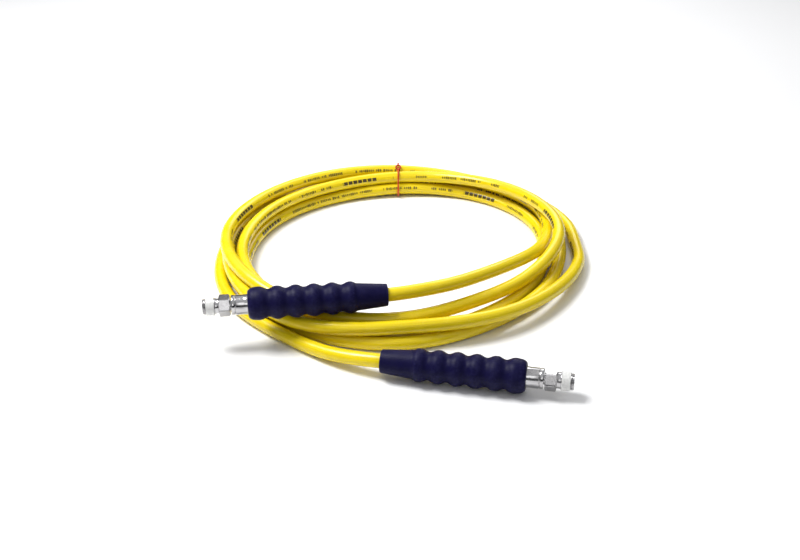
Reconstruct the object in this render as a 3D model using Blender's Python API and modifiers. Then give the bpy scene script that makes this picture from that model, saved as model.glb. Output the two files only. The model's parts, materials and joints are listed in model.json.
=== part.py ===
"""High-pressure hydraulic hose assembly, lying in a loose five-turn coil.

A thermoplastic hose (core tube, wire braid and jacket) runs between two equal ends.
Each end is a crimped ferrule, a hex nipple with a tapered male pipe thread, a band of
thread seal tape and a ribbed rubber grip. A wire tie holds the coil at the back.

Metres, +Z up. The coil lies on z = 0 and the origin is under the middle of its bounds.
"""
import bpy
import bmesh
import numpy as np
from math import cos, sin, radians
from mathutils import Matrix, Vector

MM = 0.001
GAP = 0.3 * MM

# hose
JACKET_R = 7.0 * MM
JACKET_WALL = 1.3 * MM
BRAID_R = 5.0 * MM
BRAID_WALL = 0.8 * MM
CORE_R = 3.9 * MM
CORE_WALL = 0.7 * MM
REST_Z = 7.1 * MM

# coil: the centre of its turns and the angle between two stations of a turn
COIL_CENTRE = Vector((2.4, 30.6, 0.0)) * MM
COIL_START = 270
STATION_STEP = 30

# ends: where the grip's outer face stands from the coil's centre, its height and its heading
END_A = {"offset": (-153.5, -171.0), "height": 45.2, "heading": 187.0}
END_B = {"offset": (110.8, -255.6), "height": 16.5, "heading": -11.4}

# grip, along its axis from the outer face back to the tail
GRIP_LENGTH = 137.0 * MM
GRIP_RIBS = 6
RIB_FIRST = 11.0 * MM
RIB_PITCH = 17.9 * MM
RIB_R_FACE = 16.5 * MM
RIB_R_TAIL = 15.9 * MM
RIB_DEPTH = 2.6 * MM
TAIL_R = 11.1 * MM
GRIP_BORE_R = 7.4 * MM

# ferrule
FERRULE_R = 9.9 * MM
FERRULE_BACK = -38.0 * MM
FERRULE_FRONT = 16.0 * MM
FERRULE_BORE_R = 7.4 * MM
LIP_R = 5.4 * MM
HOSE_END = 12.0 * MM

# nipple
BORE_R = 1.9 * MM
SHANK_R = 5.1 * MM
TAIL_PIPE_R = 2.6 * MM
HEX_FLATS = 19.05 * MM
HEX_START = 17.0 * MM
HEX_END = 27.8 * MM
NECK_R = 7.6 * MM
THREAD_START = 31.6 * MM
THREAD_END = 44.0 * MM
THREAD_R_BASE = 8.5 * MM
THREAD_TAPER = 1.0 / 32.0
THREAD_PITCH = 1.411 * MM
THREAD_DEPTH = 0.85 * MM

# seal tape
TAPE_START = 32.3 * MM
TAPE_END = 40.2 * MM
TAPE_R = 9.15 * MM
TAPE_WALL = 0.35 * MM

# tie
TIE_R = 1.1 * MM
TIE_SIDE = -5.0 * MM

# Each turn of the coil as (distance from the coil's centre, height) in mm, every 30 degrees
# from the front, counter-clockwise from above. The turns cross in long low humps.
TURN_1 = [(133, 43), (132, 40.5), (135, 34), (158, 23.5), (186, 19.8), (190, 21.5),
          (190.6, 25.8), (187, 31.5), (192, 32.8), (196, 35), (189.5, 34.3), (173, 22.6)]
TURN_2 = [(160, 21.8), (145, 21.5), (152, 22.5), (173, 34), (174, 35.5), (176, 29),
          (176, 23.8), (175, 22), (178, 21.7), (179, 21.6), (177.5, 21), (170, 7.2)]
TURN_3 = [(168, 7.2), (154, 7.2), (152, 7.2), (158, 7.2), (175, 7.2), (181, 7.2),
          (172, 9.9), (172, 7.2), (175, 7.2), (176, 7.2), (184, 7.2), (188, 7.2)]
TURN_4 = [(183, 7.2), (170, 7.2), (168, 7.2), (176, 7.2), (195.5, 7.2), (196.5, 7.2),
          (187, 9.9), (190.5, 14.5), (193.5, 17.5), (194, 20.3), (195, 20.7), (196, 21)]
TURN_5 = [(177, 22), (179, 20.9), (184, 15), (198, 7.6), (211, 7.2), (212, 7.2),
          (202, 9.9), (204, 7.2), (205.5, 7.2), (203, 7.2), (206, 7.2), (209, 7.2)]
TURNS = [TURN_1, TURN_2, TURN_3, TURN_4, TURN_5]

# Where the hose runs between a grip's tail and the coil, from the coil's centre in mm
LEAD_A = [(32, -138, 44.5)]
LEAD_B = [(-64, -211, 11.5)]

# The tie as (sideways, distance from the coil's centre, height) in mm: the eye first, which
# lies on the top turn, then down the front of the bundle, under it and up behind
TIE_EYE = [(-2.3, 183.4, 32.3), (-2.8, 185.1, 33.5), (-1.6, 186.6, 34.5), (0.2, 187.0, 34.8),
           (2.1, 186.2, 34.2), (2.8, 184.7, 33.2), (2.0, 183.1, 32.1), (0.6, 181.6, 31.4)]
TIE_WRAP = [(0.1, 178.9, 31.9), (0.0, 175.3, 32.5), (0.0, 169.5, 30.2), (0.0, 166.6, 24.5),
            (0.0, 165.0, 17.5), (0.0, 162.5, 10.4), (0.0, 164.3, 4.4), (0.0, 170.4, 1.3),
            (0.0, 178.8, 1.3), (0.0, 187.0, 1.2), (0.0, 195.0, 1.3), (0.0, 202.2, 1.4),
            (0.0, 208.3, 4.7), (0.0, 210.1, 10.4), (0.0, 207.8, 16.5), (0.0, 202.0, 25.0),
            (0.0, 197.6, 30.8), (0.0, 194.4, 34.0), (0.0, 191.3, 35.2)]


def clear_scene():
    for obj in list(bpy.data.objects):
        bpy.data.objects.remove(obj, do_unlink=True)


def make_collection(name):
    collection = bpy.data.collections.new(name)
    bpy.context.scene.collection.children.link(collection)
    return collection


def make_material(name, colour, roughness, metallic):
    material = bpy.data.materials.new(name)
    material.use_nodes = True
    shader = material.node_tree.nodes["Principled BSDF"]
    shader.inputs["Base Color"].default_value = (*colour, 1.0)
    shader.inputs["Roughness"].default_value = roughness
    shader.inputs["Metallic"].default_value = metallic
    return material


def smooth_mesh(mesh):
    mesh.shade_smooth()
    mesh.set_sharp_from_angle(angle=radians(35))


# --- the hose's route -------------------------------------------------------------------

def end_axis(end):
    heading = radians(end["heading"])
    return Vector((cos(heading), sin(heading), 0.0))


def end_face(end):
    x, y = end["offset"]
    return COIL_CENTRE + Vector((x, y, end["height"])) * MM


def along_end(end, distance):
    return end_face(end) + end_axis(end) * distance


def around_coil(angle, radius, height):
    turn = radians(angle)
    return COIL_CENTRE + Vector((radius * cos(turn), radius * sin(turn), height)) * MM


def coil_points():
    """Stations of all the turns, without the first, which lies inside the grip."""
    points = []
    angle = COIL_START
    for turn in TURNS:
        for radius, height in turn:
            points.append(around_coil(angle, radius, height))
            angle += STATION_STEP
    return points[1:]


def smooth_curve(points, per_span):
    """Natural cubic spline through the points, with per_span steps between neighbours."""
    knots = np.array([tuple(point) for point in points])
    chords = np.linalg.norm(np.diff(knots, axis=0), axis=1)
    steps = np.sqrt(chords)
    count = len(knots)
    system = np.eye(count)
    right = np.zeros((count, 3))
    for i in range(1, count - 1):
        before, after = steps[i - 1], steps[i]
        system[i, i - 1:i + 2] = (before, 2 * (before + after), after)
        rise = (knots[i + 1] - knots[i]) / after
        fall = (knots[i] - knots[i - 1]) / before
        right[i] = 6 * (rise - fall)
    bend = np.linalg.solve(system, right)
    curve = []
    for i in range(count - 1):
        for k in range(per_span):
            t = k / per_span
            s = 1 - t
            square = steps[i] ** 2 / 6
            pull = (s ** 3 - s) * bend[i] + (t ** 3 - t) * bend[i + 1]
            curve.append(s * knots[i] + t * knots[i + 1] + square * pull)
    curve.append(knots[-1])
    return curve


def hose_route(per_span=2):
    """The hose's centreline, from the nipple at one end to the nipple at the other."""
    inside = [-GRIP_LENGTH + past for past in (60 * MM, 30 * MM, 0.0)]
    start = [along_end(END_A, distance) for distance in inside]
    start += [COIL_CENTRE + Vector(point) * MM for point in LEAD_A]
    finish = [COIL_CENTRE + Vector(point) * MM for point in LEAD_B]
    finish += [along_end(END_B, distance) for distance in reversed(inside)]
    curve = smooth_curve(start + coil_points() + finish, per_span)
    straight = 2 * per_span
    free = curve[straight:-straight]
    points = [along_end(END_A, HOSE_END)]
    points += [Vector((x, y, max(z, REST_Z))) for x, y, z in free]
    points.append(along_end(END_B, HOSE_END))
    return points


# --- solids -----------------------------------------------------------------------------

def make_tube(name, points, radius, resolution, capped=True):
    curve = bpy.data.curves.new(name, "CURVE")
    curve.dimensions = "3D"
    curve.bevel_depth = radius
    curve.bevel_resolution = resolution
    curve.use_fill_caps = capped
    spline = curve.splines.new("POLY")
    spline.points.add(len(points) - 1)
    for slot, point in zip(spline.points, points):
        slot.co = (*point, 1.0)
    return bpy.data.objects.new(name, curve)


def make_ply(name, points, radius, wall, resolution):
    """A hollow ply of the hose: an open tube thickened inwards."""
    ply = make_tube(name, points, radius, resolution, capped=False)
    shell = ply.modifiers.new("wall", "SOLIDIFY")
    shell.thickness = wall
    shell.offset = -1
    shell.use_even_offset = True
    return ply


def make_turned(name, profile, steps):
    """Turn a closed outline of (radius, height) about +Z; it runs down its outer side."""
    mesh = bpy.data.meshes.new(name)
    count = len(profile)
    corners = [(radius, 0.0, height) for radius, height in profile]
    edges = [(i, (i + 1) % count) for i in range(count)]
    mesh.from_pydata(corners, edges, [])
    obj = bpy.data.objects.new(name, mesh)
    screw = obj.modifiers.new("turn", "SCREW")
    screw.steps = steps
    screw.render_steps = steps
    screw.use_merge_vertices = True
    screw.merge_threshold = 0.00001
    screw.use_smooth_shade = True
    return obj


def make_hex_cutter(name):
    """A hexagonal sleeve that leaves the hex standing inside it."""
    mesh = bpy.data.meshes.new(name)
    shape = bmesh.new()
    corner = HEX_FLATS / 2 / cos(radians(30))
    bmesh.ops.create_cone(shape, segments=6, radius1=corner, radius2=corner,
                          depth=HEX_END - HEX_START + 1 * MM, cap_ends=False)
    bmesh.ops.translate(shape, verts=shape.verts, vec=(0, 0, (HEX_START + HEX_END) / 2))
    bmesh.ops.rotate(shape, verts=shape.verts, matrix=Matrix.Rotation(radians(30), 3, "Z"))
    shape.to_mesh(mesh)
    shape.free()
    cutter = bpy.data.objects.new(name, mesh)
    sleeve = cutter.modifiers.new("sleeve", "SOLIDIFY")
    sleeve.thickness = 6 * MM
    sleeve.offset = 1
    sleeve.use_even_offset = True
    cutter.hide_render = True
    cutter.display_type = "WIRE"
    return cutter


def grip_profile():
    outline = [(11.4 * MM, 0.0), (13.75 * MM, -0.95 * MM), (15.45 * MM, -3.5 * MM)]
    for i in range(GRIP_RIBS):
        share = i / (GRIP_RIBS - 1)
        top = RIB_R_FACE + (RIB_R_TAIL - RIB_R_FACE) * share
        middle = RIB_FIRST + i * RIB_PITCH
        outline.append((top - 0.15 * RIB_DEPTH, -(middle - 3.2 * MM)))
        outline.append((top, -middle))
        outline.append((top - 0.4 * RIB_DEPTH, -(middle + 4.8 * MM)))
        if i < GRIP_RIBS - 1:
            outline.append((top - RIB_DEPTH, -(middle + RIB_PITCH / 2)))
            outline.append((top - 0.5 * RIB_DEPTH, -(middle + 12.4 * MM)))
    outline += [(13.5 * MM, -109 * MM), (12.9 * MM, -115 * MM), (TAIL_R + 0.1 * MM, -136 * MM)]
    outline += [(TAIL_R - 0.5 * MM, -GRIP_LENGTH), (GRIP_BORE_R, -GRIP_LENGTH)]
    socket = FERRULE_BACK - GAP
    outline += [(GRIP_BORE_R, socket), (FERRULE_R + GAP, socket), (FERRULE_R + GAP, 0.0)]
    return outline


def ferrule_profile():
    step = 0.5 * MM
    return [(FERRULE_R - 1 * MM, FERRULE_FRONT),
            (FERRULE_R, FERRULE_FRONT - 1 * MM),
            (FERRULE_R, 12.6 * MM),
            (FERRULE_R - step, 12.0 * MM),
            (FERRULE_R - step, 2.6 * MM),
            (FERRULE_R, 2.0 * MM),
            (FERRULE_R, FERRULE_BACK + 1 * MM),
            (FERRULE_R - 1 * MM, FERRULE_BACK),
            (FERRULE_BORE_R, FERRULE_BACK),
            (FERRULE_BORE_R, HOSE_END + GAP),
            (LIP_R, HOSE_END + GAP),
            (LIP_R, FERRULE_FRONT)]


def thread_profile():
    """Ridges of the tapered thread, from its free end to its run-out."""
    outline = []
    height = THREAD_END - 0.5 * MM
    while height - THREAD_PITCH > THREAD_START:
        crest = THREAD_R_BASE - (height - THREAD_START) * THREAD_TAPER
        outline.append((crest - THREAD_DEPTH, height))
        outline.append((crest, height - 0.45 * THREAD_PITCH))
        outline.append((crest, height - 0.6 * THREAD_PITCH))
        height -= THREAD_PITCH
    return outline


def nipple_profile():
    collar = HEX_FLATS / 2 / cos(radians(30)) - 0.1 * MM
    bevel = 1.3 * MM
    outline = [(BORE_R + 0.6 * MM, THREAD_END), (6.6 * MM, THREAD_END)]
    outline += thread_profile()
    outline += [(NECK_R, THREAD_START - 0.4 * MM), (NECK_R, HEX_END)]
    outline += [(collar - bevel, HEX_END), (collar, HEX_END - 0.75 * MM)]
    outline += [(collar, HEX_START + 0.75 * MM), (collar - bevel, HEX_START)]
    outline += [(SHANK_R, HEX_START), (SHANK_R, HOSE_END + 2 * GAP)]
    height = HOSE_END + 2 * GAP
    outline.append((TAIL_PIPE_R - 0.25 * MM, height))
    for _ in range(3):
        height -= 14 * MM
        outline += [(TAIL_PIPE_R - 0.25 * MM, height + 1 * MM), (TAIL_PIPE_R, height)]
        outline.append((TAIL_PIPE_R - 0.25 * MM, height - 3 * MM))
    outline += [(BORE_R + 0.1 * MM, -36 * MM), (BORE_R, -36 * MM)]
    outline.append((BORE_R, THREAD_END - 0.6 * MM))
    return outline


def tape_profile():
    slope = (TAPE_END - TAPE_START) * THREAD_TAPER
    return [(TAPE_R - slope, TAPE_END), (TAPE_R, TAPE_START),
            (TAPE_R - TAPE_WALL, TAPE_START), (TAPE_R - TAPE_WALL - slope, TAPE_END)]


def add_end(letter, end, parts, cutters, materials):
    """Build one end about an empty on its axis, with +Z pointing out of the hose."""
    frame = bpy.data.objects.new("end_" + letter, None)
    frame.location = end_face(end)
    frame.rotation_mode = "QUATERNION"
    frame.rotation_quaternion = end_axis(end).to_track_quat("Z", "Y")
    parts.objects.link(frame)

    pieces = {
        "grip": make_turned("grip_" + letter, grip_profile(), 20),
        "ferrule": make_turned("ferrule_" + letter, ferrule_profile(), 24),
        "nipple": make_turned("nipple_" + letter, nipple_profile(), 20),
        "seal_tape": make_turned("seal_tape_" + letter, tape_profile(), 20),
    }
    for kind, piece in pieces.items():
        piece.parent = frame
        piece.data.materials.append(materials[kind])
        parts.objects.link(piece)

    sleeve = make_hex_cutter("hex_sleeve_" + letter)
    sleeve.parent = frame
    cutters.objects.link(sleeve)
    cut = pieces["nipple"].modifiers.new("hex", "BOOLEAN")
    cut.operation = "DIFFERENCE"
    cut.solver = "EXACT"
    cut.object = sleeve


def add_hose(parts, materials):
    route = hose_route()
    plies = [
        make_ply("hose_jacket", route, JACKET_R, JACKET_WALL, 2),
        make_ply("hose_braid", route, BRAID_R, BRAID_WALL, 1),
        make_ply("hose_core", route, CORE_R, CORE_WALL, 1),
    ]
    for ply in plies:
        ply.data.materials.append(materials[ply.name])
        parts.objects.link(ply)


def add_tie(parts, materials):
    places = TIE_EYE + TIE_WRAP
    middle = COIL_CENTRE + Vector((TIE_SIDE, 0.0, 0.0))
    points = [middle + Vector(place) * MM for place in places]
    tie = make_tube("tie_wire", [Vector(p) for p in smooth_curve(points, 2)], TIE_R, 2)
    tie.data.materials.append(materials["tie_wire"])
    parts.objects.link(tie)


def main():
    clear_scene()
    parts = make_collection("hydraulic_hose_assembly")
    cutters = make_collection("cutters")
    steel = (0.62, 0.62, 0.60)
    materials = {
        "hose_jacket": make_material("hose_jacket", (0.90, 0.74, 0.03), 0.28, 0.0),
        "hose_braid": make_material("hose_braid", (0.55, 0.55, 0.53), 0.45, 1.0),
        "hose_core": make_material("hose_core", (0.80, 0.78, 0.70), 0.40, 0.0),
        "grip": make_material("grip", (0.022, 0.018, 0.085), 0.55, 0.0),
        "ferrule": make_material("ferrule", steel, 0.22, 1.0),
        "nipple": make_material("nipple", steel, 0.25, 1.0),
        "seal_tape": make_material("seal_tape", (0.88, 0.88, 0.86), 0.65, 0.0),
        "tie_wire": make_material("tie_wire", (0.52, 0.10, 0.03), 0.45, 0.0),
    }
    add_hose(parts, materials)
    add_end("a", END_A, parts, cutters, materials)
    add_end("b", END_B, parts, cutters, materials)
    add_tie(parts, materials)


main()
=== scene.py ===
import json
import bpy
import bmesh
import numpy as np
from math import cos, exp, pi, radians, sin
from mathutils import Vector
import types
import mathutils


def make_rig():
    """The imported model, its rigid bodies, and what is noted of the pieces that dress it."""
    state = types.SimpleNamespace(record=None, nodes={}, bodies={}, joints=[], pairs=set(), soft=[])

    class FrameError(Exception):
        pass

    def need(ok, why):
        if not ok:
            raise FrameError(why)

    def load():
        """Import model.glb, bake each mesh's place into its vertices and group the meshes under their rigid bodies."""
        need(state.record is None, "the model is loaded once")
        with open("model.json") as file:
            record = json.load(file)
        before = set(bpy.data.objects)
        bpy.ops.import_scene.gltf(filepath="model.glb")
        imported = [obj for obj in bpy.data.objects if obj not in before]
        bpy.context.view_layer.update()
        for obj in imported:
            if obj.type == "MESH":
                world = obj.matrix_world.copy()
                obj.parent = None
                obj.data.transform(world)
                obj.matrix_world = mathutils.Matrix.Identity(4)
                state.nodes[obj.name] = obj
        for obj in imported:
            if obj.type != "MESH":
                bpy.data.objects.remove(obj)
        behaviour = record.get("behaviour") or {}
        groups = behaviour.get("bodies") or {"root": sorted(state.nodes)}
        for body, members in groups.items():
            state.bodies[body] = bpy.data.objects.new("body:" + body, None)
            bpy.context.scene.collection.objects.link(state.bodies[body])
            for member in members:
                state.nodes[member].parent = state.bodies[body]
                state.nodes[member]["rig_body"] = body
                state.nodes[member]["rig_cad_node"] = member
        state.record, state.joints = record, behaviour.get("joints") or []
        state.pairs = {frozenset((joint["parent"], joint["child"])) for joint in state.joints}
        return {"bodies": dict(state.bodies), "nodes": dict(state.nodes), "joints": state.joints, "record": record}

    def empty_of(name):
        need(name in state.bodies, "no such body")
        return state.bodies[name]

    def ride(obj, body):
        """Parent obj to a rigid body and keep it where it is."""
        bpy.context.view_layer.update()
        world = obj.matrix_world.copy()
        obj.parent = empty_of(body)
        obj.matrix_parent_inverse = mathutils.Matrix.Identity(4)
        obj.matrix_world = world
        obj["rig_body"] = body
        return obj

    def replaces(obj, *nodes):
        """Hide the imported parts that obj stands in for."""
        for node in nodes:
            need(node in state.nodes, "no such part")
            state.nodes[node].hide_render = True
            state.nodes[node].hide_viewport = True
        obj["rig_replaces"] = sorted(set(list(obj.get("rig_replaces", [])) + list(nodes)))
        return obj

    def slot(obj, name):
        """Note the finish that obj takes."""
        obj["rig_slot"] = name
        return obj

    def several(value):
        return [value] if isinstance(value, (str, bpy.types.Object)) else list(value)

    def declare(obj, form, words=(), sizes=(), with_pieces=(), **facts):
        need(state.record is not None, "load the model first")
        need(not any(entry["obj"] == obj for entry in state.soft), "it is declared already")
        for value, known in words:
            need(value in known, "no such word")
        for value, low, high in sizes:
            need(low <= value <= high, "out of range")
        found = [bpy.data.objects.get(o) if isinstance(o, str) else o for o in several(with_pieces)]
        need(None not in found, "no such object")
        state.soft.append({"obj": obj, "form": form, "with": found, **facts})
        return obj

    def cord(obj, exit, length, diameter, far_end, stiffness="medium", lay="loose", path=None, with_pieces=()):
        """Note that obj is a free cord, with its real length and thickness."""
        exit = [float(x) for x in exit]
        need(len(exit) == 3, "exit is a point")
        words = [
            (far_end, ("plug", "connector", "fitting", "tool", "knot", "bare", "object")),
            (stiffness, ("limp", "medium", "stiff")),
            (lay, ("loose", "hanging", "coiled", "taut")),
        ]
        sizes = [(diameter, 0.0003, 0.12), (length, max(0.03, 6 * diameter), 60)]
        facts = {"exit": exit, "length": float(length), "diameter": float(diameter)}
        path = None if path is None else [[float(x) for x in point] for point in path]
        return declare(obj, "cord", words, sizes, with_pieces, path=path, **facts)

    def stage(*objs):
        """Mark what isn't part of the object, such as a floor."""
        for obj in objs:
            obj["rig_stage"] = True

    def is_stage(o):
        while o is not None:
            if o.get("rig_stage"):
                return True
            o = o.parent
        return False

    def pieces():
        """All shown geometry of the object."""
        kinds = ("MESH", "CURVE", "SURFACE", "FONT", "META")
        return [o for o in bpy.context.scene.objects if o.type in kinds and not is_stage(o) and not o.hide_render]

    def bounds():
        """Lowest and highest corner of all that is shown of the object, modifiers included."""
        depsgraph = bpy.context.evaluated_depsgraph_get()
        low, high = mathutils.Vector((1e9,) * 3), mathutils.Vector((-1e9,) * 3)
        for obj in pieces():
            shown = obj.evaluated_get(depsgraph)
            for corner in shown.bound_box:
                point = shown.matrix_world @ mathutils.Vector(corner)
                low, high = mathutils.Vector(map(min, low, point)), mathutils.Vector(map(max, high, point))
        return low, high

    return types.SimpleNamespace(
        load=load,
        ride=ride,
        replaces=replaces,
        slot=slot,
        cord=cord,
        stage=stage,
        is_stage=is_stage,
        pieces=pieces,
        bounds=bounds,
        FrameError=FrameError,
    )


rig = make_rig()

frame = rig.load()
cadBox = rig.bounds()
mm = 0.001
upward = Vector((0.0, 0.0, 1.0))

# the coil's centre, and the two ends: face of the grip from that centre, height, heading
coilCentre = Vector((2.4, 30.6, 0.0)) * mm
ends = {
    "A": {"offset": (-153.5, -171.0), "height": 45.2, "heading": 187.0},
    "B": {"offset": (110.8, -255.6), "height": 16.5, "heading": -11.4},
}
gripLength = 137.0 * mm


# camera and light

camera = {
    "place": (-0.0096, -1.0657, 0.5962),
    "tilt": 60.445,
    "pan": -0.4148,
    "lens": 49.725,
    "sensor": 36.0,
    "nearest": 0.01,
}

studio = {
    "ceiling": (0.97, 0.98, 1.0),
    "walls": (0.05, 0.05, 0.055),
    "wallsUpTo": 0.3,       # height on a unit sphere
    "ceilingFrom": 0.72,
    "worldStrength": 0.6,
    "lamps": {              # place, aim, size, watts
        "key": ((-0.75, 0.1, 1.35), (0.0, 0.0, 0.0), 0.7, 28.0),
        "front": ((-0.1, -1.62, 0.95), (0.0, -0.15, 0.0), 0.55, 1.2),
        "back": ((0.3, 1.3, 1.0), (0.0, 0.0, 0.0), 0.9, 6.0),
    },
    "viewTransform": "Standard",
}


def makeCamera():
    data = bpy.data.cameras.new("camera")
    data.lens = camera["lens"]
    data.sensor_width = camera["sensor"]
    data.clip_start = camera["nearest"]
    obj = bpy.data.objects.new("camera", data)
    obj.location = camera["place"]
    obj.rotation_euler = (radians(camera["tilt"]), 0.0, radians(camera["pan"]))
    bpy.context.scene.collection.objects.link(obj)
    bpy.context.scene.camera = obj


def makeLight(name, place, aim, size, watts):
    data = bpy.data.lights.new(name, "AREA")
    data.shape = "DISK"
    data.size = size
    data.energy = watts
    obj = bpy.data.objects.new(name, data)
    obj.location = place
    obj.rotation_euler = (Vector(aim) - Vector(place)).to_track_quat("-Z", "Y").to_euler()
    bpy.context.scene.collection.objects.link(obj)


def makeStudio():
    world = bpy.data.worlds.new("studio")
    world.use_nodes = True
    tree = world.node_tree
    background = tree.nodes["Background"]
    background.inputs["Strength"].default_value = studio["worldStrength"]
    # bright ceiling over dark walls, so that bright metal has something to reflect
    way = tree.nodes.new("ShaderNodeSeparateXYZ")
    tree.links.new(tree.nodes.new("ShaderNodeTexCoord").outputs["Generated"], way.inputs[0])
    ramp = tree.nodes.new("ShaderNodeValToRGB")
    tree.links.new(way.outputs["Z"], ramp.inputs["Fac"])
    low, high = ramp.color_ramp.elements
    low.position = studio["wallsUpTo"]
    low.color = (*studio["walls"], 1.0)
    high.position = studio["ceilingFrom"]
    high.color = (*studio["ceiling"], 1.0)
    tree.links.new(ramp.outputs["Color"], background.inputs["Color"])
    bpy.context.scene.world = world
    for name, lamp in studio["lamps"].items():
        makeLight(name, *lamp)


makeCamera()
makeStudio()
bpy.context.scene.view_settings.view_transform = studio["viewTransform"]
print("camera and lights are in place")


# the hose's route, through the same points as the CAD hose

hoseSize = {
    "radius": 7.0 * mm,
    "innerRadius": 5.7 * mm,
    "sides": 24,
    "steps": 12,                # between two stations of the coil
    "straightPoints": 14,       # along the straight run inside each grip
    "end": 12.0 * mm,           # in front of the grip's face, inside the ferrule
    "insideGrip": (60, 30, 0),  # mm before the grip's tail, where the smooth curve starts
    "lowest": 7.1 * mm,
    "easing": 4.0 * mm,         # over which the widest bend is held back
}
stationStep = radians(30)
frontAngle = radians(270)

# each turn as (distance from the coil's centre, height) every 30 degrees, from the front
turns = [
    [(133, 43), (132, 40.5), (135, 34), (158, 23.5), (186, 19.8), (190, 21.5),
     (190.6, 25.8), (187, 31.5), (192, 32.8), (196, 35), (189.5, 34.3), (173, 22.6)],
    [(160, 21.8), (145, 21.5), (152, 22.5), (173, 34), (174, 35.5), (176, 29),
     (176, 23.8), (175, 22), (178, 21.7), (179, 21.6), (177.5, 21), (170, 7.2)],
    [(168, 7.2), (154, 7.2), (152, 7.2), (158, 7.2), (175, 7.2), (181, 7.2),
     (172, 9.9), (172, 7.2), (175, 7.2), (176, 7.2), (184, 7.2), (188, 7.2)],
    [(183, 7.2), (170, 7.2), (168, 7.2), (176, 7.2), (195.5, 7.2), (196.5, 7.2),
     (187, 9.9), (190.5, 14.5), (193.5, 17.5), (194, 20.3), (195, 20.7), (196, 21)],
    [(177, 22), (179, 20.9), (184, 15), (198, 7.6), (211, 7.2), (212, 7.2),
     (202, 9.9), (204, 7.2), (205.5, 7.2), (203, 7.2), (206, 7.2), (209, 7.2)],
]
leadA = [(32, -138, 44.5)]
leadB = [(-64, -211, 11.5)]


def fromCentre(place):
    return coilCentre + Vector(place) * mm


def endAxis(end):
    heading = radians(end["heading"])
    return Vector((cos(heading), sin(heading), 0.0))


def alongEnd(end, distance):
    return fromCentre((*end["offset"], end["height"])) + endAxis(end) * distance


def smoothCurve(points, steps):
    # a natural cubic through the points, with this many steps between neighbours
    knots = np.array([tuple(p) for p in points])
    spans = np.sqrt(np.linalg.norm(np.diff(knots, axis=0), axis=1))
    count = len(knots)
    system = np.eye(count)
    right = np.zeros((count, 3))
    for i in range(1, count - 1):
        system[i, i - 1:i + 2] = spans[i - 1], 2 * (spans[i - 1] + spans[i]), spans[i]
        right[i] = 6 * ((knots[i + 1] - knots[i]) / spans[i]
                        - (knots[i] - knots[i - 1]) / spans[i - 1])
    bend = np.linalg.solve(system, right)
    line = []
    for i in range(count - 1):
        for k in range(steps):
            t = k / steps
            s = 1 - t
            pull = (s ** 3 - s) * bend[i] + (t ** 3 - t) * bend[i + 1]
            line.append(s * knots[i] + t * knots[i + 1] + spans[i] ** 2 / 6 * pull)
    line.append(knots[-1])
    return np.array(line)


def straightRun(end, fromTail):
    # evenly along the end's axis, leaving out the point at the grip's tail
    limits = (-gripLength, hoseSize["end"]) if fromTail else (hoseSize["end"], -gripLength)
    distances = np.linspace(*limits, hoseSize["straightPoints"])
    return np.array([alongEnd(end, d) for d in (distances[1:] if fromTail else distances[:-1])])


def easeInside(line):
    # the widest bend between two points of the CAD hose is eased back into its box
    easing = hoseSize["easing"]
    past = np.maximum(line[:, 0] - (cadBox[1][0] - hoseSize["radius"] - easing), 0.0)
    line[:, 0] -= past - easing * (1 - np.exp(-past / easing))


def hoseRoute():
    steps = hoseSize["steps"]
    inside = [-gripLength + past * mm for past in hoseSize["insideGrip"]]
    points = [alongEnd(ends["A"], distance) for distance in inside]
    points += [fromCentre(p) for p in leadA]
    stations = [station for turn in turns for station in turn]
    for i, (radius, height) in enumerate(stations[1:], 1):  # the first lies inside the grip
        angle = frontAngle + i * stationStep
        points.append(fromCentre((radius * cos(angle), radius * sin(angle), height)))
    points += [fromCentre(p) for p in leadB]
    points += [alongEnd(ends["B"], distance) for distance in reversed(inside)]
    hidden = (len(inside) - 1) * steps
    line = smoothCurve(points, steps)[hidden:-hidden]
    line[:, 2] = np.maximum(line[:, 2], hoseSize["lowest"])
    easeInside(line)
    return np.vstack([straightRun(ends["A"], False), line[1:-1], straightRun(ends["B"], True)])


# mesh tools

creaseAngle = radians(38)


def gridMesh(name, rings, closeRows, alongValues=None):
    # quads between rings of points; each ring closes on itself
    rows, sides = rings.shape[:2]
    corners = rings.reshape(-1, 3)
    faces = []
    uvs = []
    for r in range(rows if closeRows else rows - 1):
        n = (r + 1) % rows
        for s in range(sides):
            e = (s + 1) % sides
            faces.append((r * sides + s, r * sides + e, n * sides + e, n * sides + s))
            if alongValues is not None:
                a, b = alongValues[r], alongValues[n]
                v, w = s / sides, (s + 1) / sides
                uvs += [(a, v), (a, w), (b, w), (b, v)]
    if not closeRows:
        faces.append(tuple(range(sides)))
        faces.append(tuple(reversed(range((rows - 1) * sides, rows * sides))))
    mesh = bpy.data.meshes.new(name)
    mesh.from_pydata([tuple(c) for c in corners], [], faces)
    if alongValues is not None:
        layer = mesh.uv_layers.new(name="along")
        layer.data.foreach_set("uv", [value for uv in uvs for value in uv])
    work = bmesh.new()
    work.from_mesh(mesh)
    bmesh.ops.recalc_face_normals(work, faces=work.faces)
    work.to_mesh(mesh)
    work.free()
    mesh.shade_smooth()
    mesh.set_sharp_from_angle(angle=creaseAngle)
    obj = bpy.data.objects.new(name, mesh)
    bpy.context.scene.collection.objects.link(obj)
    return obj


def headings(line):
    run = np.gradient(line, axis=0)
    return run / np.linalg.norm(run, axis=1)[:, None]


def hoseRings(line, radius, sides):
    # angle 0 of each ring points away from the coil and half a turn points to its middle
    run = headings(line)
    lift = np.array(upward) - run[:, 2:3] * run
    lift /= np.linalg.norm(lift, axis=1)[:, None]
    out = np.cross(run, lift)
    angle = np.arange(sides) / sides * 2 * pi
    return line[:, None, :] + radius * (out[:, None, :] * np.cos(angle)[None, :, None]
                                        + lift[:, None, :] * np.sin(angle)[None, :, None])


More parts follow.
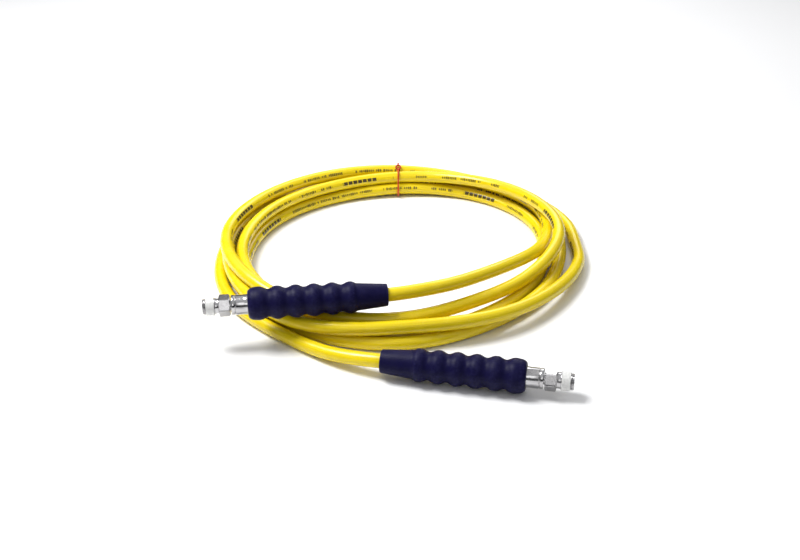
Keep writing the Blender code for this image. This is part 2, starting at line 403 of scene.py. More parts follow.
def wireRings(line, radius, sides):
    # rings carried along without twist, for wire that also runs upright
    run = headings(line)
    side = np.cross(run[0], (0.0, 0.0, 1.0))
    rings = []
    angle = np.arange(sides) / sides * 2 * pi
    for point, way in zip(line, run):
        side = side - way * np.dot(side, way)
        side /= np.linalg.norm(side)
        other = np.cross(way, side)
        rings.append(point + radius * (side * np.cos(angle)[:, None]
                                       + other * np.sin(angle)[:, None]))
    return np.array(rings)


def turned(name, end, outline, sides, shape):
    # a closed outline of (radius, distance along the end) in mm, turned about the end's axis
    ahead = endAxis(end)
    across = upward.cross(ahead)
    middle = alongEnd(end, 0.0)
    rings = np.zeros((len(outline), sides, 3))
    for r, (radius, distance) in enumerate(outline):
        for s in range(sides):
            angle = 2 * pi * s / sides
            reach = shape(angle, radius, distance) * mm
            rings[r, s] = (middle + ahead * distance * mm
                           + across * reach * cos(angle) + upward * reach * sin(angle))
    return gridMesh(name, rings, True)


def rise(value, low, high):
    # a smooth step from 0 to 1
    t = min(max((value - low) / (high - low), 0.0), 1.0)
    return t * t * (3 - 2 * t)


# shader tools

def setSocket(tree, socket, value):
    if isinstance(value, bpy.types.NodeSocket):
        tree.links.new(value, socket)
    elif isinstance(value, tuple) and socket.type == "RGBA":
        socket.default_value = (*value, 1.0)
    else:
        socket.default_value = value


def addNode(tree, kind, settings=None, **inputs):
    node = tree.nodes.new(kind)
    for key, value in (settings or {}).items():
        setattr(node, key, value)
    for key, value in inputs.items():
        setSocket(tree, node.inputs[key.replace("_", " ")], value)
    return node


def calc(tree, operation, *values):
    node = tree.nodes.new("ShaderNodeMath")
    node.operation = operation
    for socket, value in zip(node.inputs, values):
        setSocket(tree, socket, value)
    return node.outputs[0]


def product(tree, *values):
    result = values[0]
    for value in values[1:]:
        result = calc(tree, "MULTIPLY", result, value)
    return result


def remap(tree, value, low, high, outLow=0.0, outHigh=1.0):
    return addNode(tree, "ShaderNodeMapRange", Value=value, From_Min=low, From_Max=high,
                   To_Min=outLow, To_Max=outHigh).outputs["Result"]


def blendColours(tree, factor, first, second):
    node = tree.nodes.new("ShaderNodeMix")
    node.data_type = "RGBA"
    for index, value in ((0, factor), (6, first), (7, second)):  # factor, A and B for colour
        setSocket(tree, node.inputs[index], value)
    return node.outputs[2]


def noise(tree, scale, detail=3.0, stretch=None, rough=0.5):
    place = addNode(tree, "ShaderNodeTexCoord").outputs["Object"]
    if stretch:
        place = addNode(tree, "ShaderNodeMapping", Vector=place, Scale=stretch).outputs[0]
    node = addNode(tree, "ShaderNodeTexNoise", Vector=place, Scale=scale,
                   Detail=detail, Roughness=rough)
    return node.outputs["Fac"]


def newGroup(name, inputs, outputs):
    group = bpy.data.node_groups.new(name, "ShaderNodeTree")
    for label, value in inputs.items():
        socket = group.interface.new_socket(label, in_out="INPUT", socket_type="NodeSocketFloat")
        socket.default_value = value
    for label in outputs:
        group.interface.new_socket(label, in_out="OUTPUT", socket_type="NodeSocketFloat")
    return group, group.nodes.new("NodeGroupInput"), group.nodes.new("NodeGroupOutput")


grainLook = {"fineDetail": 4.0, "broadScale": 45.0, "fineShare": 0.12}


def makeGrain():
    # fine surface grain: a height for bump and a roughness that varies over centimetres
    group, into, out = newGroup(
        "surfaceGrain", {"Scale": 900.0, "Roughness": 0.5, "Variation": 0.15},
        ("Height", "Roughness"))
    fine = noise(group, into.outputs["Scale"], grainLook["fineDetail"])
    broad = noise(group, grainLook["broadScale"])
    group.links.new(fine, out.inputs["Height"])
    swing = product(group, calc(group, "SUBTRACT", broad, 0.5), into.outputs["Variation"])
    finer = product(group, calc(group, "SUBTRACT", fine, 0.5), grainLook["fineShare"])
    rough = calc(group, "ADD", into.outputs["Roughness"], swing)
    group.links.new(calc(group, "ADD", rough, finer), out.inputs["Roughness"])
    return group


wearLook = {"scale": 380.0, "detail": 5.0, "from": 0.38, "to": 0.62}


def makeEdgeWearAndSheen():
    # worn edges, and on the grip's rib crests partly a painted highlight: convex places, broken up by noise
    group, into, out = newGroup("edgeWearAndSheen", {"Start": 0.52, "Reach": 0.08, "Amount": 0.6},
                                ("Mask",))
    edge = addNode(group, "ShaderNodeNewGeometry").outputs["Pointiness"]
    stop = calc(group, "ADD", into.outputs["Start"], into.outputs["Reach"])
    mask = remap(group, edge, into.outputs["Start"], stop)
    broken = remap(group, noise(group, wearLook["scale"], wearLook["detail"]),
                   wearLook["from"], wearLook["to"])
    group.links.new(product(group, mask, broken, into.outputs["Amount"]), out.inputs["Mask"])
    return group


dustLook = {"patchDetail": 6.0, "patch": (0.45, 0.75), "speckScale": 2600.0,
            "speck": (0.6, 0.72), "speckShare": 0.6, "facing": (0.1, 0.9)}


def makeDust():
    # dust on what faces up, in soft patches with specks
    group, into, out = newGroup("settledDust", {"Amount": 0.2, "Scale": 60.0}, ("Mask",))
    facing = addNode(group, "ShaderNodeSeparateXYZ",
                     Vector=addNode(group, "ShaderNodeNewGeometry").outputs["Normal"])
    patch = remap(group, noise(group, into.outputs["Scale"], dustLook["patchDetail"]),
                  *dustLook["patch"])
    speck = remap(group, noise(group, dustLook["speckScale"], 2.0), *dustLook["speck"])
    both = calc(group, "ADD", patch, product(group, speck, dustLook["speckShare"]))
    up = remap(group, facing.outputs["Z"], *dustLook["facing"])
    group.links.new(product(group, up, both, into.outputs["Amount"]), out.inputs["Mask"])
    return group


scratchLook = {"stretches": ((1.0, 14.0, 14.0), (12.0, 1.2, 9.0)), "rough": 0.7, "width": 0.012}


def makeScratches():
    # hairline scratches in two directions
    group, into, out = newGroup("hairlines", {"Scale": 140.0, "Amount": 0.5}, ("Mask",))
    lines = []
    for stretch in scratchLook["stretches"]:
        cloud = noise(group, into.outputs["Scale"], 3.0, stretch, scratchLook["rough"])
        off = calc(group, "ABSOLUTE", calc(group, "SUBTRACT", cloud, 0.5))
        lines.append(calc(group, "SUBTRACT", 1.0, remap(group, off, 0.0, scratchLook["width"])))
    group.links.new(product(group, calc(group, "MAXIMUM", *lines), into.outputs["Amount"]),
                    out.inputs["Mask"])
    return group


inkPrint = {
    "repeat": 0.305,            # lengths in metres along the hose
    "markWidth": 0.0025,
    "wordWidth": 0.0147,
    "blockWidth": 0.0064,
    "halfHeight": 0.040,        # heights and place are shares of a turn round the hose
    "boldHalfHeight": 0.048,
    "place": 0.43,              # a little above the side that faces the coil's middle
    "drift": 0.012,
    "driftPace": 4.2,
    "boldUpTo": 0.15,           # shares of a repeat
    "lineFrom": 0.2,
    "lineUpTo": 0.93,
    "marksLeftOut": 0.14,
    "wordsLeftOut": 0.2,
    "lineStrength": 0.9,
}


def randomPer(tree, value):
    # one random number for each whole number below the value
    return addNode(tree, "ShaderNodeTexWhiteNoise", {"noise_dimensions": "1D"},
                   W=calc(tree, "FLOOR", value)).outputs["Value"]


def makeInk():
    # a printed line of plain dashes along the hose, with a run of plain blocks at each repeat
    group, into, out = newGroup("inkMarks", {"Along": 0.0, "Around": 0.0}, ("Mask",))
    along = into.outputs["Along"]
    drift = product(group, calc(group, "SINE", product(group, along, inkPrint["driftPace"])),
                    inkPrint["drift"])
    side = calc(group, "SUBTRACT", into.outputs["Around"], inkPrint["place"])
    off = calc(group, "ABSOLUTE", calc(group, "SUBTRACT", side, drift))
    share = calc(group, "FRACT", calc(group, "DIVIDE", along, inkPrint["repeat"]))

    mark = calc(group, "DIVIDE", along, inkPrint["markWidth"])
    chance = randomPer(group, mark)
    word = randomPer(group, calc(group, "DIVIDE", along, inkPrint["wordWidth"]))
    width = calc(group, "MULTIPLY_ADD", chance, 0.3, 0.55)
    height = calc(group, "MULTIPLY_ADD", chance, 0.4 * inkPrint["halfHeight"],
                  0.6 * inkPrint["halfHeight"])
    small = product(group,
                    calc(group, "LESS_THAN", calc(group, "FRACT", mark), width),
                    calc(group, "GREATER_THAN", chance, inkPrint["marksLeftOut"]),
                    calc(group, "GREATER_THAN", word, inkPrint["wordsLeftOut"]),
                    calc(group, "GREATER_THAN", share, inkPrint["lineFrom"]),
                    calc(group, "LESS_THAN", share, inkPrint["lineUpTo"]),
                    calc(group, "LESS_THAN", off, height),
                    inkPrint["lineStrength"])

    block = calc(group, "FRACT", calc(group, "DIVIDE", along, inkPrint["blockWidth"]))
    bold = product(group,
                   calc(group, "LESS_THAN", block, 0.84),
                   calc(group, "LESS_THAN", share, inkPrint["boldUpTo"]),
                   calc(group, "LESS_THAN", off, inkPrint["boldHalfHeight"]))
    worn = remap(group, noise(group, 2600.0, 4.0), 0.3, 0.55, 0.8, 1.0)
    group.links.new(product(group, calc(group, "MAXIMUM", small, bold), worn), out.inputs["Mask"])
    return group


grain = makeGrain()
edgeWearAndSheen = makeEdgeWearAndSheen()
settledDust = makeDust()
hairlines = makeScratches()
inkMarks = makeInk()
print("shader groups are ready")


# materials

def useGroup(tree, group, **inputs):
    return addNode(tree, "ShaderNodeGroup", {"node_tree": group}, **inputs).outputs


def newMaterial(name, **fixed):
    material = bpy.data.materials.new(name)
    material.use_nodes = True
    tree = material.node_tree
    shader = tree.nodes["Principled BSDF"]
    for key, value in fixed.items():
        shader.inputs[key.replace("_", " ")].default_value = value
    return material, tree, shader


def connect(tree, shader, **outputs):
    for key, value in outputs.items():
        tree.links.new(value, shader.inputs[key.replace("_", " ")])


def addBump(tree, shader, height, distance):
    bump = addNode(tree, "ShaderNodeBump", Height=height, Distance=distance, Strength=1.0)
    connect(tree, shader, Normal=bump.outputs["Normal"])


hosePaint = {"yellow": (0.84, 0.655, 0.002), "deep": (0.74, 0.54, 0.0015),
             "ink": (0.035, 0.026, 0.02), "dust": (0.62, 0.55, 0.36),
             "scuff": (0.93, 0.80, 0.30), "streakAlong": 18.0, "streakAround": 40.0,
             "bump": 0.00006}


def hoseMaterial():
    material, tree, shader = newMaterial("hoseYellow", IOR=1.42, Coat_Weight=0.12,
                                         Coat_Roughness=0.08)
    spot = addNode(tree, "ShaderNodeSeparateXYZ", Vector=addNode(
        tree, "ShaderNodeUVMap", {"uv_map": "along"}).outputs["UV"]).outputs
    ink = useGroup(tree, inkMarks, Along=spot["X"], Around=spot["Y"])["Mask"]
    stretched = addNode(tree, "ShaderNodeCombineXYZ",
                        X=product(tree, spot["X"], hosePaint["streakAlong"]),
                        Y=product(tree, spot["Y"], hosePaint["streakAround"])).outputs[0]
    streak = addNode(tree, "ShaderNodeTexNoise", {"noise_dimensions": "2D"},
                     Vector=stretched, Scale=1.0, Detail=5.0).outputs["Fac"]
    dust = useGroup(tree, settledDust, Amount=0.035, Scale=38.0)["Mask"]
    scuff = useGroup(tree, hairlines, Scale=70.0, Amount=0.16)["Mask"]
    surface = useGroup(tree, grain, Scale=1400.0, Roughness=0.25, Variation=0.12)
    colour = blendColours(tree, remap(tree, streak, 0.38, 0.72),
                          hosePaint["yellow"], hosePaint["deep"])
    colour = blendColours(tree, dust, colour, hosePaint["dust"])
    colour = blendColours(tree, product(tree, scuff, 0.4), colour, hosePaint["scuff"])
    colour = blendColours(tree, ink, colour, hosePaint["ink"])
    rough = calc(tree, "ADD", surface["Roughness"], product(tree, dust, 1.2))
    rough = calc(tree, "ADD", rough, product(tree, scuff, 0.12))
    connect(tree, shader, Base_Color=colour, Roughness=rough)
    height = calc(tree, "ADD", product(tree, surface["Height"], 0.35), streak)
    addBump(tree, shader, height, hosePaint["bump"])
    return material


# the lighter blue of the worn rib crests is partly real wear and partly a painted highlight
gripRubber = {"body": (0.0032, 0.0024, 0.031), "tone": (0.0065, 0.005, 0.047),
              "worn": (0.035, 0.033, 0.11), "dust": (0.16, 0.15, 0.24), "bump": 0.00028}


def gripMaterial():
    material, tree, shader = newMaterial("gripRubber", IOR=1.42, Specular_IOR_Level=0.13)
    surface = useGroup(tree, grain, Scale=1700.0, Roughness=0.40, Variation=0.3)
    # lighter rib crests: wear, and partly a painted highlight where the crests catch the light
    worn = useGroup(tree, edgeWearAndSheen, Start=0.505, Reach=0.03, Amount=0.55)["Mask"]
    dust = useGroup(tree, settledDust, Amount=0.035, Scale=110.0)["Mask"]
    mottle = remap(tree, noise(tree, 130.0, 5.0), 0.35, 0.75, 0.0, 0.45)
    colour = blendColours(tree, mottle, gripRubber["body"], gripRubber["tone"])
    colour = blendColours(tree, worn, colour, gripRubber["worn"])
    colour = blendColours(tree, dust, colour, gripRubber["dust"])
    rough = calc(tree, "ADD", surface["Roughness"], product(tree, dust, 0.6))
    connect(tree, shader, Base_Color=colour, Roughness=rough)
    pits = noise(tree, 520.0, 5.0, None, 0.65)
    height = calc(tree, "ADD", product(tree, surface["Height"], 0.5), pits)
    addBump(tree, shader, height, gripRubber["bump"])
    return material


zinc = {"bright": (0.54, 0.535, 0.54), "dull": (0.45, 0.44, 0.445),
        "stain": (0.24, 0.21, 0.19), "worn": (0.74, 0.74, 0.74), "bump": 0.00001}


def steelMaterial(name, rough, lines):
    material, tree, shader = newMaterial(name, IOR=2.4)
    surface = useGroup(tree, grain, Scale=1100.0, Roughness=rough, Variation=0.12)
    worn = useGroup(tree, edgeWearAndSheen, Start=0.52, Reach=0.06, Amount=0.7)["Mask"]
    scratch = useGroup(tree, hairlines, Scale=lines, Amount=0.7)["Mask"]
    cloud = remap(tree, noise(tree, 120.0, 4.0), 0.35, 0.75)
    stain = remap(tree, noise(tree, 60.0, 5.0), 0.6, 0.85, 0.0, 0.35)
    colour = blendColours(tree, cloud, zinc["bright"], zinc["dull"])
    colour = blendColours(tree, stain, colour, zinc["stain"])
    colour = blendColours(tree, worn, colour, zinc["worn"])
    metal = calc(tree, "SUBTRACT", 1.0, product(tree, stain, 0.5))
    amount = calc(tree, "ADD", surface["Roughness"], product(tree, scratch, 0.2))
    amount = calc(tree, "ADD", amount, product(tree, stain, 0.35))
    connect(tree, shader, Base_Color=colour, Metallic=metal, Roughness=amount)
    height = calc(tree, "SUBTRACT", surface["Height"], product(tree, scratch, 0.8))
    addBump(tree, shader, height, zinc["bump"])
    return material


tapeWhite = {"clean": (0.76, 0.76, 0.745), "grubby": (0.53, 0.515, 0.48),
             "grime": (0.5, 0.48, 0.43), "bump": 0.00012}


def tapeMaterial():
    material, tree, shader = newMaterial("threadTape", IOR=1.38)
    surface = useGroup(tree, grain, Scale=1900.0, Roughness=0.5, Variation=0.2)
    grime = useGroup(tree, edgeWearAndSheen, Start=0.5, Reach=0.09, Amount=0.35)["Mask"]
    crease = noise(tree, 420.0, 5.0, (1.0, 1.0, 3.5), 0.7)
    colour = blendColours(tree, remap(tree, crease, 0.45, 0.8, 0.0, 0.55),
                          tapeWhite["clean"], tapeWhite["grubby"])
    colour = blendColours(tree, grime, colour, tapeWhite["grime"])
    connect(tree, shader, Base_Color=colour, Roughness=surface["Roughness"])
    addBump(tree, shader, calc(tree, "ADD", surface["Height"], crease), tapeWhite["bump"])
    return material


tieCoat = {"red": (0.52, 0.045, 0.006), "faded": (0.60, 0.085, 0.014),
           "worn": (0.64, 0.17, 0.06), "bump": 0.00006}


def tieMaterial():
    material, tree, shader = newMaterial("tieCoating", IOR=1.4, Specular_IOR_Level=0.35)
    surface = useGroup(tree, grain, Scale=1500.0, Roughness=0.42, Variation=0.2)
    worn = useGroup(tree, edgeWearAndSheen, Start=0.51, Reach=0.05, Amount=0.6)["Mask"]
    colour = blendColours(tree, remap(tree, noise(tree, 300.0, 4.0), 0.35, 0.7),
                          tieCoat["red"], tieCoat["faded"])
    colour = blendColours(tree, worn, colour, tieCoat["worn"])
    connect(tree, shader, Base_Color=colour, Roughness=surface["Roughness"])
    addBump(tree, shader, surface["Height"], tieCoat["bump"])
    return material


# the darker grey is painted shade between the wires, the lighter grey is the wires' own colour
braidLook = {"paintedShadeGap": (0.22, 0.21, 0.19), "wire": (0.62, 0.61, 0.58), "bump": 0.0002}


def braidMaterial():
    # crossed wires, from two slanted waves round and along the ply, with painted shade in the gaps between them
    material, tree, shader = newMaterial("braidWire", IOR=2.4)
    place = addNode(tree, "ShaderNodeTexCoord").outputs["Object"]
    first = addNode(tree, "ShaderNodeTexWave", {"bands_direction": "DIAGONAL"},
                    Vector=place, Scale=220.0, Distortion=0.6).outputs["Fac"]
    second = addNode(tree, "ShaderNodeTexWave", {"bands_direction": "Z"},
                     Vector=place, Scale=260.0, Distortion=0.8).outputs["Fac"]
    weave = calc(tree, "MAXIMUM", first, second)
    surface = useGroup(tree, grain, Scale=1200.0, Roughness=0.38, Variation=0.1)
    connect(tree, shader, Base_Color=blendColours(tree, weave, braidLook["paintedShadeGap"], braidLook["wire"]),
            Metallic=remap(tree, weave, 0.0, 1.0, 0.7, 1.0), Roughness=surface["Roughness"])
    addBump(tree, shader, weave, braidLook["bump"])
    return material


coreLook = {"pale": (0.78, 0.75, 0.64), "deep": (0.70, 0.66, 0.53), "bump": 0.00005}


def coreMaterial():
    material, tree, shader = newMaterial("coreTube", IOR=1.5)
    surface = useGroup(tree, grain, Scale=800.0, Roughness=0.36, Variation=0.15)
    cloud = remap(tree, noise(tree, 60.0, 5.0), 0.35, 0.7)
    connect(tree, shader, Base_Color=blendColours(tree, cloud, coreLook["pale"], coreLook["deep"]),
            Roughness=surface["Roughness"])
    addBump(tree, shader, surface["Height"], coreLook["bump"])
    return material


materials = {
    "hose_jacket": hoseMaterial(),
    "grip": gripMaterial(),
    "ferrule": steelMaterial("zincFerrule", 0.15, 120.0),
    "nipple": steelMaterial("zincNipple", 0.2, 190.0),
    "seal_tape": tapeMaterial(),
    "tie_wire": tieMaterial(),
    "hose_braid": braidMaterial(),
    "hose_core": coreMaterial(),
}
print("materials are mixed")


def finishPiece(piece, slotName, *nodes):
    piece.data.materials.append(materials[slotName])
    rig.ride(piece, "root")
    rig.slot(piece, slotName)
    if nodes:
        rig.replaces(piece, *nodes)
    return piece


# the hose

def makeHose():
    line = hoseRoute()
    outer = hoseRings(line, hoseSize["radius"], hoseSize["sides"])
    inner = hoseRings(line, hoseSize["innerRadius"], hoseSize["sides"])
    spans = np.linalg.norm(np.diff(line, axis=0), axis=1)
    lengths = np.concatenate([[0.0], np.cumsum(spans)])
    rings = np.concatenate([outer, inner[::-1]])
    piece = gridMesh("hoseSkin", rings, True, np.concatenate([lengths, lengths[::-1]]))
    print("hose is", round(float(lengths[-1]), 3), "m long")
    return finishPiece(piece, "hose_jacket", "hose_jacket"), line, float(lengths[-1])


hose, hoseLine, hoseLength = makeHose()
for node in ("hose_braid", "hose_core"):
    ply = frame["nodes"][node]
    ply.data.materials.clear()
    ply.data.materials.append(materials[node])


# the grips, with x running back from the face in mm

grip = {
    "ribs": 6, "first": 11.0, "pitch": 17.9, "depth": 2.6,
    "faceRadius": 16.5, "tailRadius": 15.9,     # at the crests
    "crestSharpness": 1.25, "faceShare": 0.45,  # the face has only a part of a valley
    "faceInner": 11.4, "faceRound": 7.0,
    "coneStart": 109.0, "coneRadius": 13.5, "coneSlope": 0.084,
    "lip": 0.8, "bore": 7.4, "socket": 10.2, "socketDepth": 38.3, "step": 0.75,
    "mouldLine": 0.16, "mouldWidth": 0.045, "sides": 72,
}


def gripRadius(x):
    last = grip["first"] + (grip["ribs"] - 1) * grip["pitch"]
    share = min(max((x - grip["first"]) / (last - grip["first"]), 0.0), 1.0)
    crest = grip["faceRadius"] + (grip["tailRadius"] - grip["faceRadius"]) * share
    wave = 0.5 - 0.5 * cos(2 * pi * (x - grip["first"]) / grip["pitch"])
    wave **= grip["crestSharpness"]
    if x < grip["first"]:
        wave *= grip["faceShare"]
    ribbed = crest - grip["depth"] * wave
    cone = grip["coneRadius"] - (x - grip["coneStart"]) * grip["coneSlope"]
    return ribbed + (cone - ribbed) * rise(x, last + 2.0, last + 8.5)


def gripOutline():
    full = gripLength / mm
    inner, turn, lip = grip["faceInner"], grip["faceRound"], grip["lip"]
    outline = [(grip["socket"], 0.0), (11.2, 0.0)]
    for angle in np.linspace(0.0, pi / 2, 11):  # rounded face edge
        outline.append((inner + (gripRadius(turn) - inner) * sin(angle), -turn * (1 - cos(angle))))
    outline += [(gripRadius(x), -x) for x in np.arange(7.6, full - 0.9, grip["step"])]
    for angle in np.linspace(0.0, pi / 2, 5):  # rounded tail edge
        outline.append((gripRadius(full - lip) - lip * (1 - cos(angle)),
                        -(full - lip + lip * sin(angle))))
    outline += [(grip["bore"] + 0.3, -full), (grip["bore"], -full + 0.3)]
    outline += [(grip["bore"], -x) for x in (110.0, 80.0, 50.0, grip["socketDepth"])]
    outline += [(grip["socket"], -x) for x in (grip["socketDepth"], 20.0, 0.4)]
    return outline


def makeGrip(letter):
    def moulded(angle, radius, distance):
        # two faint mould lines run along the sides
        near = min(abs(angle), abs(angle - pi), abs(angle - 2 * pi))
        if radius <= 10.3 or distance >= -2:
            return radius
        return radius + grip["mouldLine"] * exp(-(near / grip["mouldWidth"]) ** 2)
    piece = turned("grip" + letter, ends[letter], gripOutline(), grip["sides"], moulded)
    return finishPiece(piece, "grip", "grip_" + letter.lower())


# the ferrules, with distances forward from the grip's face in mm

ferrule = {
    "crimps": 8, "crimpDepth": 0.2, "ridgeWidth": 0.11, "sides": 96,
    "outline": [
        (8.9, 16.0), (9.25, 15.93), (9.6, 15.7), (9.83, 15.35), (9.9, 15.0), (9.9, 13.0),
        (9.82, 12.7), (9.55, 12.45), (9.4, 12.2), (9.4, 11.9),
        (9.9, 11.3), (9.9, 9.2), (9.9, 7.0), (9.9, 4.8), (9.9, 3.2),
        (9.9, 2.2), (9.9, 0.5), (9.9, -10.0), (9.9, -24.0), (9.9, -36.6), (9.6, -37.5),
        (8.9, -38.0), (7.7, -38.0), (7.4, -37.7), (7.4, -20.0), (7.4, 0.0), (7.4, 12.3),
        (5.4, 12.3), (5.4, 14.0), (5.4, 15.7), (5.7, 16.0)],
}


def makeFerrule(letter):
    def crimped(angle, radius, distance):
        if radius < 9.88 or distance > 11.5:
            return radius
        part = 2 * pi / ferrule["crimps"]
        near = abs((angle + part / 2) % part - part / 2)
        ridge = exp(-(near / ferrule["ridgeWidth"]) ** 2)
        front = rise(distance, 2.0, 3.4) * (1 - rise(distance, 10.6, 11.4))
        deep = max(front, 1 - rise(distance, -4.0, -1.0))
        return radius - ferrule["crimpDepth"] * (1 - ridge) * deep
    piece = turned("ferrule" + letter, ends[letter], ferrule["outline"], ferrule["sides"], crimped)
    return finishPiece(piece, "ferrule", "ferrule_" + letter.lower())


# the nipples: bore, thread, hex, shank and barbed tail

nipple = {
    "bore": 1.9, "shank": 5.1, "flats": 19.05, "hexStart": 17.0, "hexEnd": 27.8,
    "chamfer": 1.5, "chamferLength": 0.87, "neck": 7.6,
    "threadStart": 31.6, "threadEnd": 44.0, "threadRadius": 8.5, "taper": 1 / 32,
    "pitch": 1.411, "depth": 0.85, "crestFlat": 0.12,
    "barbs": 12, "barbPitch": 3.6, "barbRoot": 2.35, "barbTop": 2.62, "sides": 96,
}


def nippleOutline():
    bore, neck, shank = nipple["bore"], nipple["neck"], nipple["shank"]
    start, stop, tip = nipple["hexStart"], nipple["hexEnd"], nipple["threadEnd"]
    outline = [(bore, -36.0), (bore, 0.0), (bore, 43.4), (2.1, 43.8), (2.5, tip)]
    outline += [(4.2, tip), (6.2, tip), (6.9, 43.8)]
    for x in np.arange(43.55, nipple["threadStart"], -nipple["pitch"] / 9):
        outline.append((nipple["threadRadius"] - (x - nipple["threadStart"]) * nipple["taper"], x))
    outline += [(neck, 31.3), (neck, 30.0), (neck, 28.3), (neck + 0.15, 27.95), (neck + 0.5, stop)]
    corner = nipple["flats"] / 2 / cos(radians(30)) - 0.1
    cut = [(corner - nipple["chamfer"] * (1 - share), nipple["chamferLength"] * share)
           for share in np.linspace(0.0, 1.0, 8)]
    outline += [(radius, stop - back) for radius, back in cut]
    outline += [(corner, stop - 2.5), (corner, 22.4), (corner, start + 2.5)]
    outline += [(radius, start + back) for radius, back in reversed(cut)]
    outline += [(shank + 0.4, start), (shank, start - 0.3), (shank, 14.0), (shank, 12.6),
                (nipple["barbRoot"], 12.6)]
    for tooth in range(nipple["barbs"]):
        x = 10.0 - tooth * nipple["barbPitch"]
        outline += [(nipple["barbRoot"], x), (nipple["barbTop"], x - 0.9),
                    (nipple["barbTop"], x - 1.2)]
    outline += [(nipple["barbRoot"], -34.0), (2.0, -36.0)]
    return outline


def makeNipple(letter):
    def cutAndThreaded(angle, radius, distance):
        if radius > 9.0:  # the hex, with two of its flats level
            toFlat = (angle - pi / 2 + pi / 6) % (pi / 3) - pi / 6
            return min(radius, nipple["flats"] / 2 / cos(toFlat))
        if distance > nipple["threadStart"] and radius > nipple["neck"]:
            turn = (distance / nipple["pitch"] - angle / (2 * pi)) % 1.0
            valley = min(max(1.25 * abs(2 * turn - 1) - nipple["crestFlat"], 0.0), 1.0)
            fade = rise(distance, 31.6, 33.4)
            lead = 1 - 0.55 * rise(distance, 42.6, 43.6)
            return radius - nipple["depth"] * (1 - (1 - valley * fade) * lead)
        return radius
    piece = turned("nipple" + letter, ends[letter], nippleOutline(), nipple["sides"],
                   cutAndThreaded)
    return finishPiece(piece, "nipple", "nipple_" + letter.lower())


# the thread seal tape

tape = {"start": 32.3, "end": 40.2, "radius": 9.1, "wall": 0.33, "edge": 0.12, "step": 0.19,
        "imprint": 0.09, "lap": 0.10, "lapPitch": 4.2, "pucker": 0.04, "sides": 96}


def tapeRadius(x):
    return tape["radius"] - (x - tape["start"]) * nipple["taper"]


def tapeOutline():
    start, end = tape["start"], tape["end"]
    outline = [(tapeRadius(x), x) for x in np.arange(start + tape["edge"], end - 0.1, tape["step"])]
    outline.append((tapeRadius(end) - tape["edge"], end))
    outline += [(tapeRadius(x) - tape["wall"], x) for x in (end, 38.0, 36.0, 34.0, start)]
    outline.append((tape["radius"] - 0.1, start))
    return outline


def makeTape(letter):
    def wound(angle, radius, distance):
        if radius < tapeRadius(distance) - 0.05:
            return radius
        turn = angle / (2 * pi)
        imprint = tape["imprint"] * cos(2 * pi * (distance / nipple["pitch"] - turn))
        lap = tape["lap"] * ((turn + (distance - tape["start"]) / tape["lapPitch"]) % 1.0)
        pucker = tape["pucker"] * sin(angle * 11 + distance * 1.7)
        return radius + imprint + lap + pucker - 0.06
    piece = turned("sealTape" + letter, ends[letter], tapeOutline(), tape["sides"], wound)
    return finishPiece(piece, "seal_tape", "seal_tape_" + letter.lower())


fittings = {}
for letter in ("A", "B"):
    fittings[letter] = [makeGrip(letter), makeFerrule(letter), makeNipple(letter),
                        makeTape(letter)]
print("both ends are made")

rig.cord(hose, exit=tuple(hoseLine[0]), length=hoseLength, diameter=2 * hoseSize["radius"],
        far_end="fitting", stiffness="stiff", lay="coiled", path=[tuple(p) for p in hoseLine],
        with_pieces=fittings["B"])


# the wire tie, in mm from the coil's centre: its eye, then down the front of the bundle,
# under it and up behind

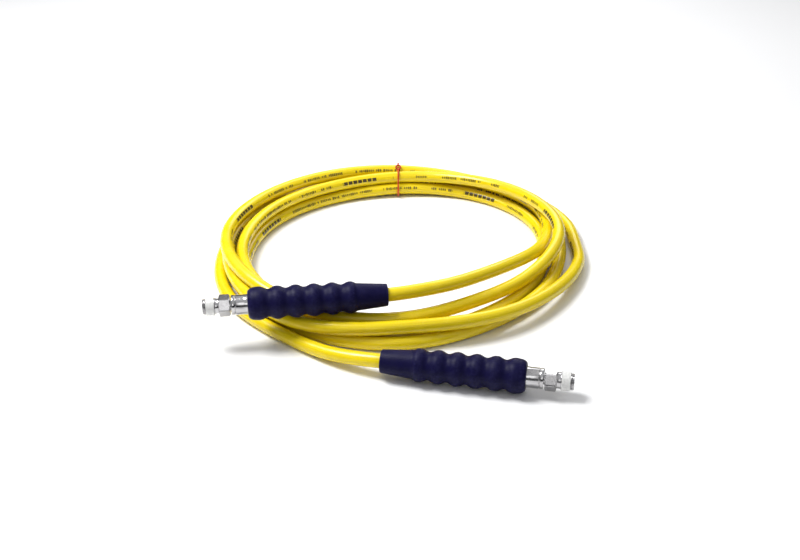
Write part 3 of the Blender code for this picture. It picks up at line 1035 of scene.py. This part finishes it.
tieEye = [(-2.3, 183.4, 32.3), (-2.8, 185.1, 33.5), (-1.6, 186.6, 34.5), (0.2, 187.0, 34.8),
          (2.1, 186.2, 34.2), (2.8, 184.7, 33.2), (2.0, 183.1, 32.1), (0.6, 181.6, 31.4)]
tieWrap = [(0.1, 178.9, 31.9), (0.0, 175.3, 32.5), (0.0, 169.5, 30.2), (0.0, 166.6, 24.5),
           (0.0, 165.0, 17.5), (0.0, 162.5, 10.4), (0.0, 164.3, 4.4), (0.0, 170.4, 1.3),
           (0.0, 178.8, 1.3), (0.0, 187.0, 1.2), (0.0, 195.0, 1.3), (0.0, 202.2, 1.4),
           (0.0, 208.3, 4.7), (0.0, 210.1, 10.4), (0.0, 207.8, 16.5), (0.0, 202.0, 25.0),
           (0.0, 197.6, 30.8), (0.0, 194.4, 34.0), (0.0, 191.3, 35.2)]
tie = {
    "radius": 1.05 * mm, "side": -5.0, "sides": 14, "steps": 8,
    "twistRadius": 1.7, "twistWire": 0.62 * mm, "twistTurns": 3.2, "twistLength": 3.6,
    "twistFoot": (0.3, 178.9, 31.7), "twistPoints": 90, "twistSides": 10,
}


def makeTie():
    places = [(x + tie["side"], y, z) for x, y, z in tieEye + tieWrap]
    line = smoothCurve([fromCentre(p) for p in places], tie["steps"])
    wire = gridMesh("tieWire", wireRings(line, tie["radius"], tie["sides"]), False)
    finishPiece(wire, "tie_wire", "tie_wire")


def makeTwist():
    # the tail of the wire is wound round itself in the valley between the two top turns
    x, y, z = tie["twistFoot"]
    reach = tie["twistRadius"]
    coil = []
    for share in np.linspace(0.0, 1.0, tie["twistPoints"]):
        angle = share * 2 * pi * tie["twistTurns"]
        coil.append(fromCentre((tie["side"] + x + reach * cos(angle),
                                y + tie["twistLength"] * share, z + reach * sin(angle))))
    rings = wireRings(np.array(coil), tie["twistWire"], tie["twistSides"])
    finishPiece(gridMesh("tieTwist", rings, False), "tie_wire")


makeTie()
makeTwist()
print("tie is wound")


# the floor

floor = {"half": 6.0, "colour": (0.93, 0.93, 0.93), "shade": (0.90, 0.90, 0.905),
         "roughness": 0.6}


def makeFloor():
    h = floor["half"]
    mesh = bpy.data.meshes.new("floor")
    mesh.from_pydata([(-h, -h, 0.0), (h, -h, 0.0), (h, h, 0.0), (-h, h, 0.0)], [], [(0, 1, 2, 3)])
    obj = bpy.data.objects.new("floor", mesh)
    bpy.context.scene.collection.objects.link(obj)
    material, tree, shader = newMaterial("paleFloor", Specular_IOR_Level=0.25,
                                         Roughness=floor["roughness"])
    connect(tree, shader,
            Base_Color=blendColours(tree, noise(tree, 3.0, 2.0), floor["colour"], floor["shade"]))
    mesh.materials.append(material)
    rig.stage(obj)


makeFloor()

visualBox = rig.bounds()
with open("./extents.json", "w") as sizes:
    json.dump({"cad": [list(map(float, corner)) for corner in cadBox],
               "visual": [list(map(float, corner)) for corner in visualBox]}, sizes)
print("sizes are written")
